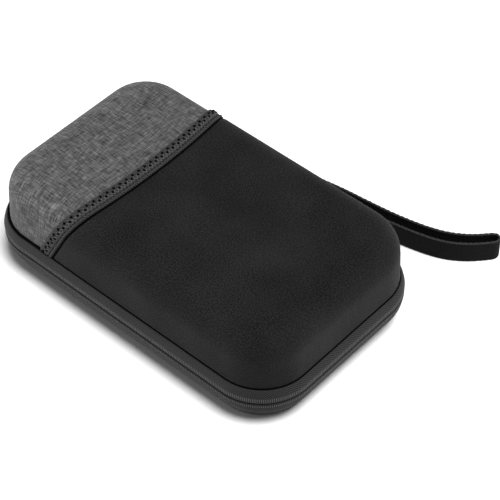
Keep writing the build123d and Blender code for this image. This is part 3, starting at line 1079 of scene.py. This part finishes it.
def strap_pieces(mat):
    """Webbing on its edge along the route, with looped selvedges."""
    strap_low, strap_high = (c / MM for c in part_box("wrist_strap"))
    rise = (strap_high.z - strap_low.z) - STRAP_W
    data = bpy.data.curves.new("strap_route", "CURVE")
    data.dimensions = "3D"
    data.resolution_u = 12
    spline = data.splines.new("NURBS")
    spline.points.add(len(STRAP_ROUTE) - 1)
    for point, (x, y) in zip(spline.points, STRAP_ROUTE):
        up = rise * (strap_high.x - x) / (strap_high.x - strap_low.x)
        point.co = (x * MM, y * MM, (strap_low.z + up + STRAP_W / 2) * MM, 1)
    spline.order_u = 3
    spline.use_endpoint_u = True
    holder = bpy.data.objects.new("strap_route", data)
    bpy.context.scene.collection.objects.link(holder)
    line_mesh = bpy.data.meshes.new_from_object(holder)
    line = resample([tuple(v.co / MM) for v in line_mesh.vertices], 0.5)
    bpy.data.objects.remove(holder)
    half = STRAP_W / 2
    thick = STRAP_T / 2
    face = half - STRAP_BEVEL
    section = [(-face, thick), (-half, 0.35), (-half, -0.35), (-face, -thick)]
    for i in range(1, 12):
        section.append((-face + 2 * face * i / 12, -thick))
    section += [(face, -thick), (half, -0.35), (half, 0.35), (face, thick)]
    for i in range(1, 12):
        section.append((face - 2 * face * i / 12, thick))
    verts, uvs = [], []
    along = 0.0
    for i, p in enumerate(line):
        a = Vector(line[max(i - 1, 0)])
        b = Vector(line[min(i + 1, len(line) - 1)])
        if i:
            along += math.dist(p, line[i - 1])
        side = Vector((-(b - a).y, (b - a).x, 0)).normalized()
        girth = 0.0
        for k, (up, out) in enumerate(section):
            if k:
                girth += math.dist(section[k - 1], section[k])
            if abs(up) == half:
                loop = math.sin(2 * math.pi * along / SELVEDGE_LOOP) + noise.noise((along * 0.6, up, 0))
                up += math.copysign(SELVEDGE_DEPTH, up) * loop
            q = Vector(p) + Vector((0, 0, up)) + side * out
            verts.append(tuple(q))
            uvs.append((along, girth))
    strap = outward(link("wrist_strap_webbing", verts, capped_grid(len(line), len(section)), uvs))
    wear(strap, mat)
    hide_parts("wrist_strap")
    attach(strap, "base")


# The stitching on the strap's tab, in millimetres: its margins and its pitch
TAB_MARGIN = 1.4
TAB_TOP_MARGIN = 1.8
TAB_STITCH = 1.5


def anchor_pieces(mat, stitch_mat):
    """Folded tab over the strap's ends, boxed and crossed with stitching."""
    tab = wear(softened("strap_anchor", "strap_tab", voxel=0.3, rounds=3), mat)
    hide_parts("strap_anchor")
    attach(tab, "base")
    low, high = (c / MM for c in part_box("strap_anchor"))
    y = high.y + 0.02
    x0, x1 = low.x + TAB_MARGIN, high.x - TAB_MARGIN
    z0, z1 = low.z + TAB_MARGIN, high.z - TAB_TOP_MARGIN
    corners = [(x0, z0), (x1, z0), (x1, z1), (x0, z1), (x0, z0), (x1, z1), (x0, z1), (x1, z0)]
    tubes = []
    for (ax, az), (bx, bz) in zip(corners, corners[1:]):
        count = max(2, round(math.dist((ax, az), (bx, bz)) / TAB_STITCH))
        for i in range(count):
            t0, t1 = (i + 0.12) / count, (i + 0.88) / count
            ends = [(ax + (bx - ax) * t, y, az + (bz - az) * t) for t in (t0, t1)]
            tubes.append(tube(ends, 0.18, 4))
    cross = wear(join_tubes("strap_tab_stitches", tubes), stitch_mat)
    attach(cross, "base")


# ---------------------------------------------------------------- everything

camera()
lid_fabric = heather_fabric()
pocket_knit = knit_fabric("pocket_fabric", 0.0, 0.012, 0.05)
tape_fabric = twill_tape("zip_tape", 0.002, 0.030, 0.85)
edge_fabric = twill_tape("pocket_edge", 0.004, 0.040, 0.9)
webbing = webbing_fabric()
# near-black material of the tubes that paint shade in grooves, stitch holes and along edges
painted_shade_black = thread("painted_shade_black", 0.0006, 0.02)
grey_thread = thread("grey_thread", 0.06)
strap_pieces(webbing)
stage()
lid_pieces(lid_fabric, pocket_knit)
mouth_pieces(edge_fabric, grey_thread, painted_shade_black)
zip_pieces(tape_fabric, thread("zip_thread", 0.085), painted_shade_black)
spine(tape_fabric)
base_pieces(knit_fabric("base_fabric", 0.012, 0.03))

lining_cloth = knit_fabric("lining", 0.014, 0.036)
binding_fabric = twill_tape("binding_tape", 0.008, 0.03, 0.8)
linings(lining_cloth, binding_fabric, grey_thread)
coils(nylon())
insert_pad(foam("insert_foam", 0.022))
net_pieces(thread("net", 0.012), binding_fabric, twill_tape("elastic", 0.006, 0.03, 1.4, 0), grey_thread)
anchor_pieces(webbing_fabric(object_space=True), grey_thread)

metal = painted_metal()
shell_foam = foam("eva_foam", 0.02)
for node, obj in frame["nodes"].items():
    if node in ("base_shell", "lid_shell"):
        wear(obj, shell_foam)
    elif node.startswith(("zip_slider", "zip_pull", "zip_stops")):
        wear(obj, metal)

lights()
